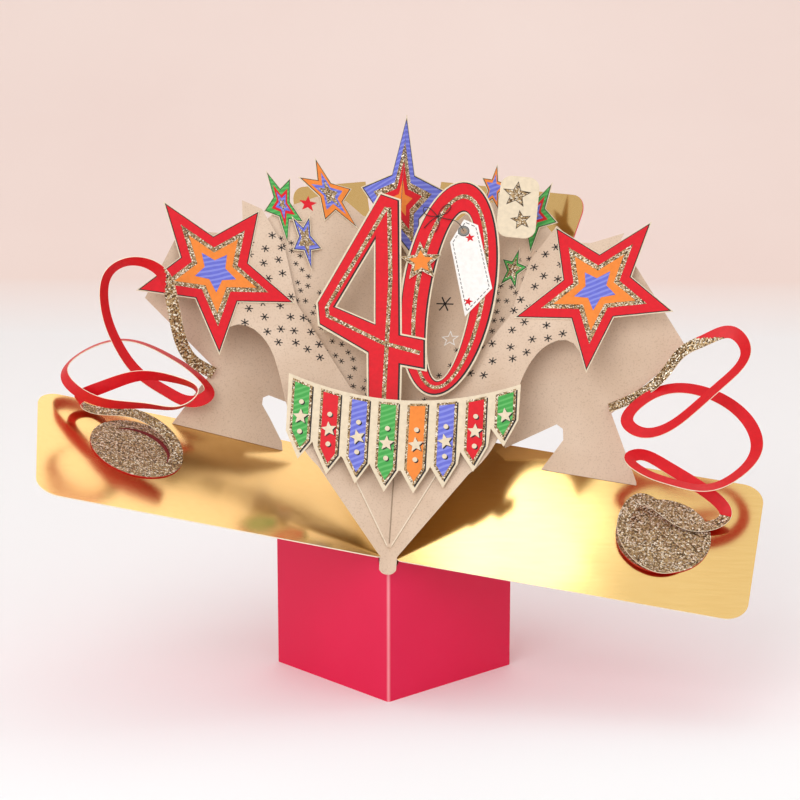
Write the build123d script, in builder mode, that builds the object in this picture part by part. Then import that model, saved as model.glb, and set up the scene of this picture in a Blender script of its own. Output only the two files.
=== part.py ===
from build123d import *
import os
from math import atan2, cos, radians, sin, sqrt

os.makedirs("parts", exist_ok=True)

# Stock and fits
board = 0.6
card = 0.45
seat = 0.15
layer = card + seat

# Base tube, set with one corner to the front
side = 85.0
half = side / sqrt(2)
notch_height = 72.0
corner_height = 114.0
crease_radius = 1.2
notch_radius = 5.0

# Wings that lie on the sloping front of the tube
wing_length = 170.0
wing_depth = 85.0
wing_corner = 11.0
spine_gap = 1.6

# Flaps that rise behind from the back walls and pass clear behind the small stars
flap_height = 137.0
flap_back = 43.82
star_level = 200.0
flap_corner = 10.0
flap_relief = 12.0
flap_flare = 33.0
left_flap_insets = (34.0, 64.0)
right_flap_insets = (8.0, 8.0)

# Whole upper fan leans a little to the right
lean_angle = 2.4

# Petal planes of the fan, left hand; the right hand is the mirror
petal_facing = (0.26, -0.745, 0.615)
nest = 3.0

# Stars
star_waist = 0.436
red_star_across = 42.1
red_star_up = 47.6

# Ribbon spirals
disc_radius = 23.0
ribbon_width = 6.2
ribbon_steps = 110
ribbon_thick = 0.4
ribbon_return = 0.09

# The tube's axis stands a little left of and before the middle of the whole card, which is the origin
tube_shift = (-5.56, -10.805)

notch = Vector(0, -half, notch_height)
lean = Location(notch) * Location((0, 0, 0), (0, lean_angle, 0)) * Location(-notch)


def save(builder, name):
    piece = builder.part.moved(Location((*tube_shift, 0)))
    piece.label = name
    export_step(piece, "parts/" + name + ".step")


def leaning(origin, facing):
    face = Vector(*facing).normalized()
    flat = Plane(origin=origin, x_dir=Vector(0, 0, 1).cross(face), z_dir=face)
    return Plane(lean * flat.location)


def upright(origin, facing):
    face = Vector(*facing).normalized()
    return Plane(origin=origin, x_dir=Vector(0, 0, 1).cross(face), z_dir=face)


def petal(hand, forward=0.0):
    x, y, z = petal_facing
    facing = Vector(-hand * x, y, z).normalized()
    return leaning(notch + facing * forward, facing)


def fold(up, forward=0.0):
    a, b, c = petal_facing
    return ((a * (sqrt(a * a + b * b) * forward - c * up)) / b, up)


def tilted(y, z, angle, forward=0.0):
    facing = Vector(0, -cos(radians(angle)), sin(radians(angle)))
    return leaning(Vector(0, y, z) + facing * forward, facing)


def mirrored(outline, hand):
    return [(-hand * x, y) for x, y in outline]


def sheet(plane, outline, thick=card):
    with BuildSketch(plane) as face:
        with BuildLine():
            Polyline(*outline, close=True)
        make_face()
    extrude(face.sketch, amount=thick)


def star_points(radius, first, centre=(0, 0), waist=star_waist):
    points = []
    for k in range(10):
        reach = radius if k % 2 == 0 else radius * waist
        angle = radians(first + 36 * k)
        points.append((centre[0] + reach * cos(angle), centre[1] + reach * sin(angle)))
    return points


def clear_below(plane, first, last):
    with BuildSketch(plane) as below:
        with Locations(((first + last) / 2, wing_depth / 2)):
            Rectangle(last - first, wing_depth + 120)
    extrude(below.sketch, amount=-60, mode=Mode.SUBTRACT)


def oval(x, y, wide, high, turn, count=56):
    c, s = cos(radians(turn)), sin(radians(turn))
    points = []
    for k in range(count):
        a = wide * cos(radians(360 * k / count))
        b = high * sin(radians(360 * k / count))
        points.append((x + a * c - b * s, y + a * s + b * c))
    return points


def near(sketch, x, y):
    return sketch.vertices().sort_by(lambda v: (v.X - x) ** 2 + (v.Y - y) ** 2)[0]


left_wing_plane = Plane(origin=notch, x_dir=(0.9277, 0.2764, -0.253), z_dir=(0.3345, -0.3058, 0.892))
right_wing_plane = Plane(origin=notch, x_dir=(0.9807, -0.1478, -0.127), z_dir=(0.0173, -0.5797, 0.814))

# Base: one folded sheet, a square tube whose back walls run on into two flaps
with BuildPart() as base_box:
    with BuildSketch():
        RectangleRounded(side, side, crease_radius, rotation=45)
        inside = side - 2 * board
        RectangleRounded(inside, inside, crease_radius - board, rotation=45, mode=Mode.SUBTRACT)
    extrude(amount=corner_height)
    for wing_plane, first, last in ((left_wing_plane, -110, 0.5), (right_wing_plane, -0.5, 110)):
        with BuildSketch(wing_plane.offset(-seat)):
            with Locations(((first + last) / 2, (wing_depth - 40) / 2)):
                Rectangle(last - first, wing_depth + 41)
        extrude(amount=120, mode=Mode.SUBTRACT)
    with BuildSketch(Plane.XZ.offset(half - 12)):
        with Locations((0, notch_height - 1)):
            Circle(notch_radius)
    extrude(amount=20, mode=Mode.SUBTRACT)
    for hand, insets in ((-1, left_flap_insets), (1, right_flap_insets)):
        out = Vector(hand, 1, 0).normalized()
        rise = Vector(0, 0, 1)
        tilt = atan2(flap_back, star_level - corner_height)
        facing = out * cos(tilt) - rise * sin(tilt)
        hinge = out * (side / 2) + rise * (corner_height - 0.2)
        flap_plane = Plane(origin=hinge, x_dir=rise.cross(out), z_dir=facing)
        edge, edge_top = (-hand * (side / 2 - inset) for inset in insets)
        inner = hand * (side / 2 - 1)
        spread = inner + hand * flap_flare
        with BuildSketch(flap_plane) as flap:
            with BuildLine():
                Polyline(
                    (edge + hand * flap_relief, -0.2),
                    (inner, -0.2),
                    (spread, flap_height),
                    (edge_top, flap_height),
                    (edge, flap_relief),
                    close=True,
                )
            make_face()
            fillet(near(flap, edge_top, flap_height), flap_corner)
        extrude(amount=-board)
save(base_box, "base_box")

# Gold wings, each seated on the sloping top edge of a front wall
with BuildPart() as left_wing:
    with BuildSketch(left_wing_plane) as page:
        with Locations((-spine_gap - wing_length / 2, wing_depth / 2)):
            Rectangle(wing_length, wing_depth)
        fillet(page.vertices().group_by(Axis.X)[0], wing_corner)
        fillet(near(page, -spine_gap, 0), notch_radius)
    extrude(amount=board)
save(left_wing, "left_wing")

with BuildPart() as right_wing:
    with BuildSketch(right_wing_plane) as page:
        with Locations((spine_gap + wing_length / 2, wing_depth / 2)):
            Rectangle(wing_length, wing_depth)
        fillet(page.vertices().group_by(Axis.X)[-1], wing_corner)
        fillet(near(page, spine_gap, 0), notch_radius)
    extrude(amount=board)
save(right_wing, "right_wing")

left_wing_top = left_wing_plane.offset(board + seat)
right_wing_top = right_wing_plane.offset(board + seat)

# Arms: one sheet folded down its middle, an arch cut under each star
arch_steps = 22
arch = [(-28, 50), (-36.5, 66), (-39.7, 84), (-42, 106), (-47.5, 122), (-56, 128.6), (-63, 127.5)]
behind_star = [(-69, 121), (-73, 125), (-80, 147), (-82, 168)]
left_ear = [(-76, 184), (-66, 176), (-50, 185), (-48.5, 201), (-38.6, 195.8)]
right_ear = [(-72, 181), (-74.4, 193), (-58.7, 185.5), (-50, 185), (-38.6, 194)]


def arm(hand, ear):
    rest = behind_star + ear + [(-29.4, 172), (-27.2, 140), (-6, 92.5), fold(78), fold(-8)]
    with BuildSketch(petal(hand)) as face:
        with BuildLine():
            curve = Spline(*mirrored(arch, hand), mode=Mode.PRIVATE)
            rim = [curve @ (k / arch_steps) for k in range(arch_steps + 1)]
            Polyline(*rim, *mirrored(rest, hand), *mirrored([(-6, -8), (-4, 2)], hand), close=True)
        make_face()
    extrude(face.sketch, amount=card)


with BuildPart() as arms:
    arm(-1, left_ear)
    arm(1, right_ear)
    clear_below(left_wing_top, -120, -notch_radius)
    clear_below(right_wing_top, notch_radius, 120)
    add(left_wing.part, mode=Mode.SUBTRACT)
    add(right_wing.part, mode=Mode.SUBTRACT)
    with BuildSketch(Plane.XZ.offset(half - 12)):
        with Locations((0, notch_height - 13)):
            Rectangle(40, 26)
        with Locations((0, notch_height - 1)):
            Circle(notch_radius - seat, mode=Mode.SUBTRACT)
    extrude(amount=24, mode=Mode.SUBTRACT)
save(arms, "arms")

# Small front fold laid over the arms below the banner
inner_outline = [fold(6, layer), (0, 6), (-13.5, 50), (-13.5, 66), fold(66, layer)]
with BuildPart() as front_fold:
    sheet(petal(-1, card + seat), inner_outline)
    sheet(petal(1, card + seat), mirrored(inner_outline, 1))
save(front_fold, "front_fold")

# Fan: the nested fold behind the arms that carries the small stars
fan_foot = [fold(62, -nest), (-2, 68), (-24, 118), (-36, 160), (-42, 186), (-30, 197), (-6, 206)]
left_fan_top = [(8, 203), (16, 194), fold(188, -nest)]
right_fan_top = [(6, 207), (16, 194), fold(188, -nest)]
with BuildPart() as fan:
    sheet(petal(-1, -nest), fan_foot + left_fan_top)
    sheet(petal(1, -nest), mirrored(fan_foot + right_fan_top, 1))
    for hand in (-1, 1):
        with BuildSketch(petal(hand, -nest + card)):
            with Locations((hand * 20, 108), (hand * 34, 150)):
                Rectangle(6, 16)
        extrude(amount=nest - card - seat)
save(fan, "fan")

# Struts between the wings and the backs of the red stars
left_strut_plane = upright((-84, -11, 120), (0.30, -0.89, 0.34))
right_strut_plane = upright((97, -15, 102), (-0.10, -0.94, 0.32))
left_strut_outline = [
    (-30.2, -16),
    (28.7, -16),
    (28.7, -3.5),
    (23.8, 8.6),
    (20.3, 16.1),
    (21, 19.6),
    (24.2, 20.7),
    (34.2, 16.2),
    (44.7, 10.9),
    (46, 30),
    (42, 55),
    (29, 74),
    (14, 118),
    (-8, 118),
    (-34.6, 73.4),
    (-2.3, 36.1),
    (-30.2, 4.6),
]
right_strut_outline = [
    (-24.1, -16),
    (24.3, -16),
    (24.3, -0.9),
    (10.8, 33),
    (47.3, 66.7),
    (14, 118),
    (-20, 118),
    (-28, 76),
    (-40, 55),
    (-46, 30),
    (-41.6, 14.1),
    (-32.3, 18.7),
    (-16.2, 26.8),
    (-13, 24.6),
    (-12.6, 19),
    (-24.1, 2.4),
]


def strut(plane, outline, wing_top, first, last, hand):
    sheet(plane, outline)
    clear_below(wing_top, first, last)
    with BuildSketch(petal(hand, -seat)) as front:
        with Locations((hand * 70, 150)):
            Rectangle(160, 220)
    extrude(front.sketch, amount=90, mode=Mode.SUBTRACT)


with BuildPart() as left_strut:
    strut(left_strut_plane, left_strut_outline, left_wing_top, -200, 0, -1)
save(left_strut, "left_strut")

with BuildPart() as right_strut:
    strut(right_strut_plane, right_strut_outline, right_wing_top, 0, 200, 1)
save(right_strut, "right_strut")

# Large red stars glued on the arms
red_centre = (-67.4, 158.7)
red_first = 118.0


def red_star(turn):
    c, s = cos(radians(turn)), sin(radians(turn))
    points = [(x * red_star_across, y * red_star_up) for x, y in star_points(1.0, red_first)]
    return [(red_centre[0] + x * c - y * s, red_centre[1] + x * s + y * c) for x, y in points]


with BuildPart() as left_star:
    sheet(petal(-1, layer), red_star(3.4))
save(left_star, "left_star")

with BuildPart() as right_star:
    sheet(petal(1, layer), mirrored(red_star(0.0), 1))
save(right_star, "right_star")

# Small stars glued on the fan: centre, then where the star's own right and up go
small_stars = (
    ("green_star_left", -1, (-27.0, 199.6), (8.8, 10.8), (-6.2, 20.8), 1),
    ("orange_star_left", -1, (-0.7, 206.6), (14.7, -3.7), (-4.8, 22.8), 0),
    ("blue_star_left", -1, (-17.5, 178.2), (7.2, -10.3), (4.1, 14.8), 2),
    ("orange_star_right", 1, (-1.4, 214.7), (8.0, -1.5), (-1.8, 15.6), 0),
    ("green_star_right", 1, (24.4, 200.3), (12.5, -9.9), (4.9, 21.1), 0),
    ("small_star_right", 1, (21.1, 167.2), (7.9, -1.8), (0.2, 13.6), 0),
)
for label, hand, centre, across, up, level in small_stars:
    with BuildPart() as small_star:
        outline = []
        for x, y in star_points(1.0, 90):
            outline.append((centre[0] + x * across[0] + y * up[0], centre[1] + x * across[1] + y * up[1]))
        sheet(petal(hand, -nest + layer * (1 + level)), outline)
    save(small_star, label)

# Crown star: a tall star folded down its middle, its legs glued to the fan on both sides of the fold
crown_origin = Vector(-5.1, 57, 232.4)
crown_radius = 29.0
crown_stretch = 1.8
crown_fold = 35.0
crown_tilt = 35.0
fan_face = -nest + layer
with BuildPart() as crown_star:
    points = [(x, y * crown_stretch) for x, y in star_points(crown_radius, 90)]
    turn, tilt = radians(crown_fold), radians(crown_tilt)
    crease = Vector(0, sin(tilt), cos(tilt))
    front = Vector(0, -cos(tilt), sin(tilt))
    for hand in (-1, 1):
        facing = front * cos(turn) + Vector(hand * sin(turn), 0, 0)
        facet = Plane(origin=crown_origin, x_dir=crease.cross(facing), z_dir=facing)
        half_star = points[0:6] if hand < 0 else points[5:10] + points[0:1]
        sheet(Plane(lean * facet.location), half_star, -card)
    for hand in (-1, 1):
        with BuildSketch(petal(hand, fan_face)):
            with Locations((hand * 60, 0)):
                Rectangle(300, 415)
        extrude(amount=-60, mode=Mode.SUBTRACT)
save(crown_star, "crown_star")

# Block numerals, standing clear of the fan on glued tabs
numeral_tilt = 30.0
numeral_y = -16.0
numeral_z = 145.0


def numeral_plane(level):
    return tilted(numeral_y, numeral_z, numeral_tilt, level * layer)


def tab(plane, x, y, width, height, hand, reach):
    with BuildSketch(plane) as pad:
        with Locations((x, y)):
            Rectangle(width, height)
    extrude(pad.sketch, amount=-40)
    with BuildSketch(petal(hand, reach)) as behind:
        with Locations((hand * 60, 120)):
            Rectangle(300, 400)
    extrude(behind.sketch, amount=-80, mode=Mode.SUBTRACT)


arm_face = layer

with BuildPart() as numeral_zero:
    tab(numeral_plane(0), 41.5, 62, 5, 16, 1, fan_face)
    with BuildSketch(numeral_plane(0)):
        with BuildLine():
            Polyline(*oval(22.5, 57.5, 24, 59, -6), close=True)
        make_face()
        with BuildLine():
            Polyline(*oval(23.5, 53, 10, 45.5, -6), close=True)
        make_face(mode=Mode.SUBTRACT)
    extrude(amount=card)
save(numeral_zero, "numeral_zero")

four_outline = [
    (-15.5, 107.4),
    (-4.6, 104),
    (0, 31),
    (12.6, 29),
    (13.5, 11.7),
    (1, 13.5),
    (1.8, -9.8),
    (-15, -10.3),
    (-17, 19.5),
    (-42.2, 33.3),
    (-44, 45.5),
]
four_window = [(-16.8, 78.5), (-33.4, 43.9), (-14.3, 36.3)]
with BuildPart() as numeral_four:
    tab(numeral_plane(1), -36, 38, 8, 8, -1, fan_face)
    with BuildSketch(numeral_plane(1)):
        with BuildLine():
            Polyline(*four_outline, close=True)
        make_face()
        with BuildLine():
            Polyline(*four_window, close=True)
        make_face(mode=Mode.SUBTRACT)
    extrude(amount=card)
save(numeral_four, "numeral_four")

# Star between the numerals, swing tag and plaque
with BuildPart() as centre_star:
    sheet(numeral_plane(2), star_points(11.0, 96, (7.5, 69.9)))
save(centre_star, "centre_star")

with BuildPart() as swing_tag:
    with BuildSketch(numeral_plane(1)):
        with BuildLine():
            Polyline((28.1, 94.5), (35.3, 91.6), (43.9, 57.6), (31, 41.8), (21.6, 81.5), close=True)
        make_face()
        with Locations((28.2, 88)):
            Circle(1.6, mode=Mode.SUBTRACT)
    extrude(amount=card)
save(swing_tag, "swing_tag")

with BuildPart() as plaque:
    with BuildSketch(numeral_plane(-1)):
        with Locations((55.2, 103.3)):
            RectangleRounded(20, 34, 6, rotation=-3)
    extrude(amount=card)
save(plaque, "plaque")

# Banner: a die-cut row of pointed flags hung in a shallow curve before the arms
banner_tilt = 24.0
banner_y = -43.0
banner_z = 107.0
banner_left = -54.0
banner_right = 60.0
flag_drops = (40, 43, 44, 46, 46, 44, 38, 29)
flag_point = 11.0
flag_cut = 0.5


def sagging(x):
    middle = (banner_left + banner_right) / 2
    return 40 + 11 * ((x - middle) / (banner_right - middle)) ** 2


with BuildPart() as banner:
    pitch = (banner_right - banner_left) / len(flag_drops)
    top = []
    bottom = []
    for k, drop in enumerate(flag_drops):
        first = banner_left + k * pitch
        middle = first + pitch / 2
        last = first + pitch
        top += [(first, sagging(first)), (middle, sagging(middle))]
        bottom.append((first + flag_cut, sagging(first) - drop + flag_point))
        bottom.append((middle, sagging(middle) - drop))
        bottom.append((last - flag_cut, sagging(last) - drop + flag_point))
    top.append((banner_right, sagging(banner_right)))
    banner_plane = tilted(banner_y, banner_z, banner_tilt)
    tab(banner_plane, -40, 27, 6, 12, -1, arm_face)
    tab(banner_plane, 41, 30, 6, 12, 1, arm_face)
    with BuildSketch(banner_plane):
        with BuildLine():
            Polyline(*top, *reversed(bottom), close=True)
        make_face()
    extrude(amount=card)
save(banner, "banner")

# Spirals: a disc glued on each wing whose rim pulls out into a ribbon tied to the strut
left_disc = (-123.0, 50.5)
right_disc = (126.6, 43.1)

# Where the left ribbon lifts off its disc: angle round the rim and height above the disc
left_rim = ((-20, -0.25), (2, 1.2), (28, 2.6), (52, 4.0), (76, 5.4), (102, 7.0))
rim_radius = disc_radius - ribbon_width / 2 - 0.3
left_path = []
for turn, rise in left_rim:
    x = left_disc[0] + rim_radius * cos(radians(turn))
    y = left_disc[1] + rim_radius * sin(radians(turn))
    left_path.append(left_wing_top.from_local_coords((x, y, card + rise)))
left_path += [
    (-148, -33, 139.5),
    (-152.5, -36.5, 143.5),
    (-141, -40, 151),
    (-122, -42, 157.5),
    (-103, -41, 155.5),
    (-93, -42.5, 150),
    (-98, -46, 144.5),
    (-115, -48.5, 144),
    (-135, -48, 145),
    (-152, -40, 149.5),
    (-160.5, -28, 156.5),
    (-154, -14, 164),
    (-134, -4, 168.5),
    (-112, -4, 160.5),
    (-96, -8, 150),
    (-91.5, -12, 143.5),
    (-98, -16.5, 140),
    (-111, -19, 145),
    (-124, -19, 153.5),
    (-135.5, -20, 170),
    (-141, -22, 191),
    (-138, -23, 205),
    (-126, -24, 211),
    (-112.5, -21, 205),
    (-108.5, -18, 193),
    (-105.5, -14, 172.5),
    (-100.5, -9, 160),
    (-90, -4.2, 152),
]
right_path = [
    (149, -53.6, 74.6),
    (130, -62.5, 69.8),
    (113, -47, 86),
    (122, -35, 97),
    (147, -41, 85),
    (163, -39, 90),
    (149, -34, 104),
    (132.5, -30, 113.5),
    (121, -30, 118),
    (116.5, -34, 117),
    (123, -41, 112),
    (136, -45, 108),
    (153, -46, 105.6),
    (168, -42, 111.5),
    (178, -31, 122),
    (173.5, -18, 134.5),
    (156.5, -12, 145),
    (138, -12, 147.5),
    (121, -17, 140.5),
    (115.5, -24, 133),
    (121, -29, 129.2),
    (131, -32, 130.5),
    (145, -32, 140),
    (160.5, -28, 153.3),
    (172, -23, 170),
    (166, -18, 176.7),
    (153.5, -15, 172.5),
    (143, -13, 166.5),
    (134.5, -11, 155),
    (122.5, -10, 144),
    (107.5, -7.6, 136.5),
]
ribbon_facing = Vector(0, -0.2, 0.98)


def corners_at(ribbon, place, facing):
    across = (ribbon % place).cross(facing) * (ribbon_width / 2)
    through = facing * (ribbon_thick / 2)
    middle = ribbon @ place
    return [middle + across + through, middle - across + through, middle - across - through, middle + across - through]


def twisted_strip(sections):
    faces = [Face(Wire.make_polygon(section)) for section in (sections[0], sections[-1])]
    for before, after in zip(sections, sections[1:]):
        for k in range(4):
            side = (k + 1) % 4
            faces.append(Face(Wire.make_polygon([before[k], before[side], after[side]])))
            faces.append(Face(Wire.make_polygon([before[k], after[side], after[k]])))
    return Solid(Shell(faces))


def spiral(wing_top, centre, path):
    with BuildSketch(wing_top) as disc:
        with Locations(centre):
            RegularPolygon(disc_radius, 48)
    extrude(disc.sketch, amount=card)
    with BuildLine() as line:
        Spline(*path)
    ribbon = line.line
    sections = []
    facing = wing_top.z_dir
    for k in range(ribbon_steps + 1):
        along = ribbon % (k / ribbon_steps)
        facing = facing * (1 - ribbon_return) + ribbon_facing * ribbon_return
        facing = (facing - along * facing.dot(along)).normalized()
        sections.append(corners_at(ribbon, k / ribbon_steps, facing))
    add(twisted_strip(sections))
    clear_below(wing_top, centre[0] - 90, centre[0] + 90)


with BuildPart() as left_spiral:
    spiral(left_wing_top, left_disc, left_path)
save(left_spiral, "left_spiral")

with BuildPart() as right_spiral:
    spiral(right_wing_top, right_disc, right_path)
save(right_spiral, "right_spiral")
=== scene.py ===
import math

import bmesh
import bpy
from mathutils import Matrix, Vector
from mathutils.bvhtree import BVHTree
from mathutils.geometry import tessellate_polygon


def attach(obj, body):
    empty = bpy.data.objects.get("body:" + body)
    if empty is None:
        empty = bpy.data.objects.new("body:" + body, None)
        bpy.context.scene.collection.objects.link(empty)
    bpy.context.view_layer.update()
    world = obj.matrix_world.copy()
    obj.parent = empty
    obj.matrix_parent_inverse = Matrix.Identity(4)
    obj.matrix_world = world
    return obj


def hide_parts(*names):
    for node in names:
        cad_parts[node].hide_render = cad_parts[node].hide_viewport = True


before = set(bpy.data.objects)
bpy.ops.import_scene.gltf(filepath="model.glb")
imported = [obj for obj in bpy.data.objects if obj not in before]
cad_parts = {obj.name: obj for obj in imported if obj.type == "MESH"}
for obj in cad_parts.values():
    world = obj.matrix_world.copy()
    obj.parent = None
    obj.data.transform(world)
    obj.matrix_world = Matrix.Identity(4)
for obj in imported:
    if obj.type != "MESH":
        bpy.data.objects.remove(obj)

bl_info = {
    "name": "Pop up card",
    "version": (1, 0, 0),
    "blender": (4, 2, 0),
    "location": "View3D > Sidebar > Card",
    "description": "Foil, kraft, prints and glitter of a standing pop up card",
    "category": "Object",
}

# Sizes and places of the solids, in millimetres. CARD is the thickness of a sheet, LAYER that of a sheet
# with the gap below it, NEST how far the fan lies behind the arms and INK the height of a printed layer.
MM = 0.001
CARD = 0.45
LAYER = 0.6
NEST = 3.0
INK = 0.05
WALL = 85.0
NOTCH = Vector((0.0, -WALL / math.sqrt(2.0), 72.0))
TUBE = Vector((-5.56, -10.805, 0.0))
LEAN = math.radians(2.4)
# Direction that the right half of the folded sheets faces, before mirroring
PETAL = (0.26, -0.745, 0.615)
# Inner radius of a star against its outer radius
WAIST = 0.436
# Distance back, height and lean in degrees of the planes of the numerals and the banner
NUMERALS = (-16.0, 145.0, 30.0)
BANNER = (-43.0, 107.0, 24.0)
HANDS = ((-1, "left"), (1, "right"))


# Colours and shader nodes


def linear(code):
    """Linear colour of an sRGB hex value."""
    out = []
    for k in (1, 3, 5):
        c = int(code[k : k + 2], 16) / 255.0
        out.append(c / 12.92 if c <= 0.04045 else ((c + 0.055) / 1.055) ** 2.4)
    return (*out, 1.0)


def toned(colour, factor):
    """A linear colour made darker or lighter."""
    return (*(min(1.0, c * factor) for c in colour[:3]), 1.0)


def add(tree, kind, links=None, values=None, **settings):
    node = tree.nodes.new(kind)
    for key, value in settings.items():
        setattr(node, key, value)
    for key, value in (values or {}).items():
        node.inputs[key].default_value = value
    for key, source in (links or {}).items():
        tree.links.new(source, node.inputs[key])
    return node


def blank(name):
    material = bpy.data.materials.new(name)
    material.use_nodes = True
    material.node_tree.nodes.clear()
    return material, material.node_tree


def finish_shader(tree, values, links):
    shader = add(tree, "ShaderNodeBsdfPrincipled", links=links, values=values)
    add(tree, "ShaderNodeOutputMaterial", links={"Surface": shader.outputs[0]})


def ramp(tree, factor, stops):
    node = add(tree, "ShaderNodeValToRGB", links={"Fac": factor})
    band = node.color_ramp
    while len(band.elements) < len(stops):
        band.elements.new(0.5)
    for element, (place, colour) in zip(band.elements, stops):
        element.position = place
        element.color = colour
    return node.outputs["Color"]


def noise(tree, where, size, detail=3.0):
    """Noise whose patches are about size in millimetres."""
    values = {"Scale": 1.0 / (size * MM), "Detail": detail}
    return add(tree, "ShaderNodeTexNoise", links={"Vector": where}, values=values).outputs["Fac"]


def bumped(tree, height, strength, depth, under=None):
    links = {"Height": height}
    if under:
        links["Normal"] = under
    values = {"Strength": strength, "Distance": depth * MM}
    return add(tree, "ShaderNodeBump", links=links, values=values).outputs["Normal"]


def blend(tree, factor, first, second, mode="MIX"):
    links, values = {}, {}
    for key, source in ((0, factor), (6, first), (7, second)):
        if isinstance(source, (float, tuple)):
            values[key] = source
        else:
            links[key] = source
    node = add(tree, "ShaderNodeMix", links=links, values=values, data_type="RGBA", blend_type=mode)
    return node.outputs[2]


def kraft_material(name, pale, dark):
    # Uncoated kraft card: warm grey brown with short darker fibres and a dry, slightly rough face
    # Real fibres are a few hundredths of a millimetre thick; they are drawn thicker so that they show
    material, tree = blank(name)
    where = add(tree, "ShaderNodeTexCoord").outputs["Object"]
    cloud = noise(tree, where, 33.3)
    fibre = noise(tree, where, 0.77, 2.0)
    field = ramp(tree, cloud, [(0.3, linear(dark)), (0.7, linear(pale))])
    fleck = ramp(tree, fibre, [(0.34, (0.66, 0.6, 0.55, 1)), (0.45, (1, 1, 1, 1))])
    colour = blend(tree, 0.4, field, fleck, "MULTIPLY")
    normal = bumped(tree, fibre, 0.12, 0.2)
    finish_shader(tree, {"Roughness": 0.78}, {"Base Color": colour, "Normal": normal})
    return material


def foil_material():
    # Gold foil laminated on board: a warm mirror blurred by fine rolling lines and shallow dents
    # Real rolling lines are about 0.1 mm wide; they are drawn wider so that they show at this distance
    material, tree = blank("gold foil")
    where = add(tree, "ShaderNodeTexCoord").outputs["Object"]
    wide, long = 1.25, 14.3
    values = {"Scale": (wide / long, 1.0, 1.0)}
    drawn = add(tree, "ShaderNodeMapping", links={"Vector": where}, values=values)
    streak = noise(tree, drawn.outputs[0], wide, 4.0)
    dent = noise(tree, where, 62.5, 1.0)
    tone = ramp(tree, streak, [(0.3, linear("#DEB872")), (0.7, linear("#E1BD7A"))])
    values = {"To Min": 0.145, "To Max": 0.165}
    rough = add(tree, "ShaderNodeMapRange", links={"Value": streak}, values=values)
    lined = bumped(tree, streak, 0.006, 0.2)
    dented = bumped(tree, dent, 0.18, 6.0, lined)
    links = {"Base Color": tone, "Roughness": rough.outputs[0], "Normal": dented}
    finish_shader(tree, {"Metallic": 1.0, "Coat Weight": 0.3, "Coat Roughness": 0.12}, links)
    return material


def glitter_material(flake):
    # Glitter glued on card: bronze flakes, each tipped its own way, their colours running from a painted
    # dark shade to painted near white glints
    # Real flakes are about 0.2 mm; they are drawn larger so that they show at this distance
    material, tree = blank("bronze glitter")
    where = add(tree, "ShaderNodeTexCoord").outputs["Object"]
    cells = add(tree, "ShaderNodeTexVoronoi", links={"Vector": where}, values={"Scale": 1.0 / flake})
    chance = add(tree, "ShaderNodeSeparateColor", links={"Color": cells.outputs["Color"]})
    # Flake colours: the darkest are painted shade and the near white ones painted glints
    stops = [(0.0, "#3E2E20"), (0.3, "#7E6340"), (0.7, "#C0A274"), (0.93, "#FFF6E4")]
    tone = ramp(tree, chance.outputs[0], [(place, linear(code)) for place, code in stops])
    half = {1: (0.5, 0.5, 0.5)}
    links = {0: cells.outputs["Color"]}
    tip = add(tree, "ShaderNodeVectorMath", links=links, values=half, operation="SUBTRACT")
    facing = add(tree, "ShaderNodeNewGeometry")
    links = {0: tip.outputs[0], 2: facing.outputs["Normal"]}
    whole = {1: (1, 1, 1)}
    tipped = add(tree, "ShaderNodeVectorMath", links=links, values=whole, operation="MULTIPLY_ADD")
    unit = add(tree, "ShaderNodeVectorMath", links={0: tipped.outputs[0]}, operation="NORMALIZE")
    links = {"Base Color": tone, "Normal": unit.outputs[0]}
    finish_shader(tree, {"Metallic": 0.6, "Roughness": 0.36}, links)
    return material


def ink_material(name, colour, hatch=None, gap=2.0, rough=0.48):
    # Offset ink on coated card: one colour with a faint grain; some fields carry hand drawn hatching
    # Real paper grain is about 0.3 mm; it is drawn larger so that it shows at this distance
    material, tree = blank(name)
    where = add(tree, "ShaderNodeTexCoord").outputs["Object"]
    grain = noise(tree, where, 2.38)
    tone = ramp(tree, grain, [(0.3, toned(colour, 0.93)), (0.7, toned(colour, 1.06))])
    if hatch:
        values = {"Rotation": (0.5, 0.35, 0.3)}
        turned = add(tree, "ShaderNodeMapping", links={"Vector": where}, values=values)
        # The wave texture repeats ten times in a length of pi, so this scale gives one line in each gap
        bands = math.pi / (10.0 * gap * MM)
        values = {"Scale": bands, "Distortion": 2.2, "Detail": 2.0, "Detail Scale": 0.6}
        links = {"Vector": turned.outputs[0]}
        wave = add(tree, "ShaderNodeTexWave", links=links, values=values, bands_direction="Z")
        line = ramp(tree, wave.outputs["Fac"], [(0.45, (0, 0, 0, 1)), (0.85, (1, 1, 1, 1))])
        tone = blend(tree, line, tone, hatch)
    links = {"Base Color": tone, "Normal": bumped(tree, grain, 0.06, 0.2)}
    finish_shader(tree, {"Roughness": rough, "Specular IOR Level": 0.3}, links)
    return material


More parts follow.
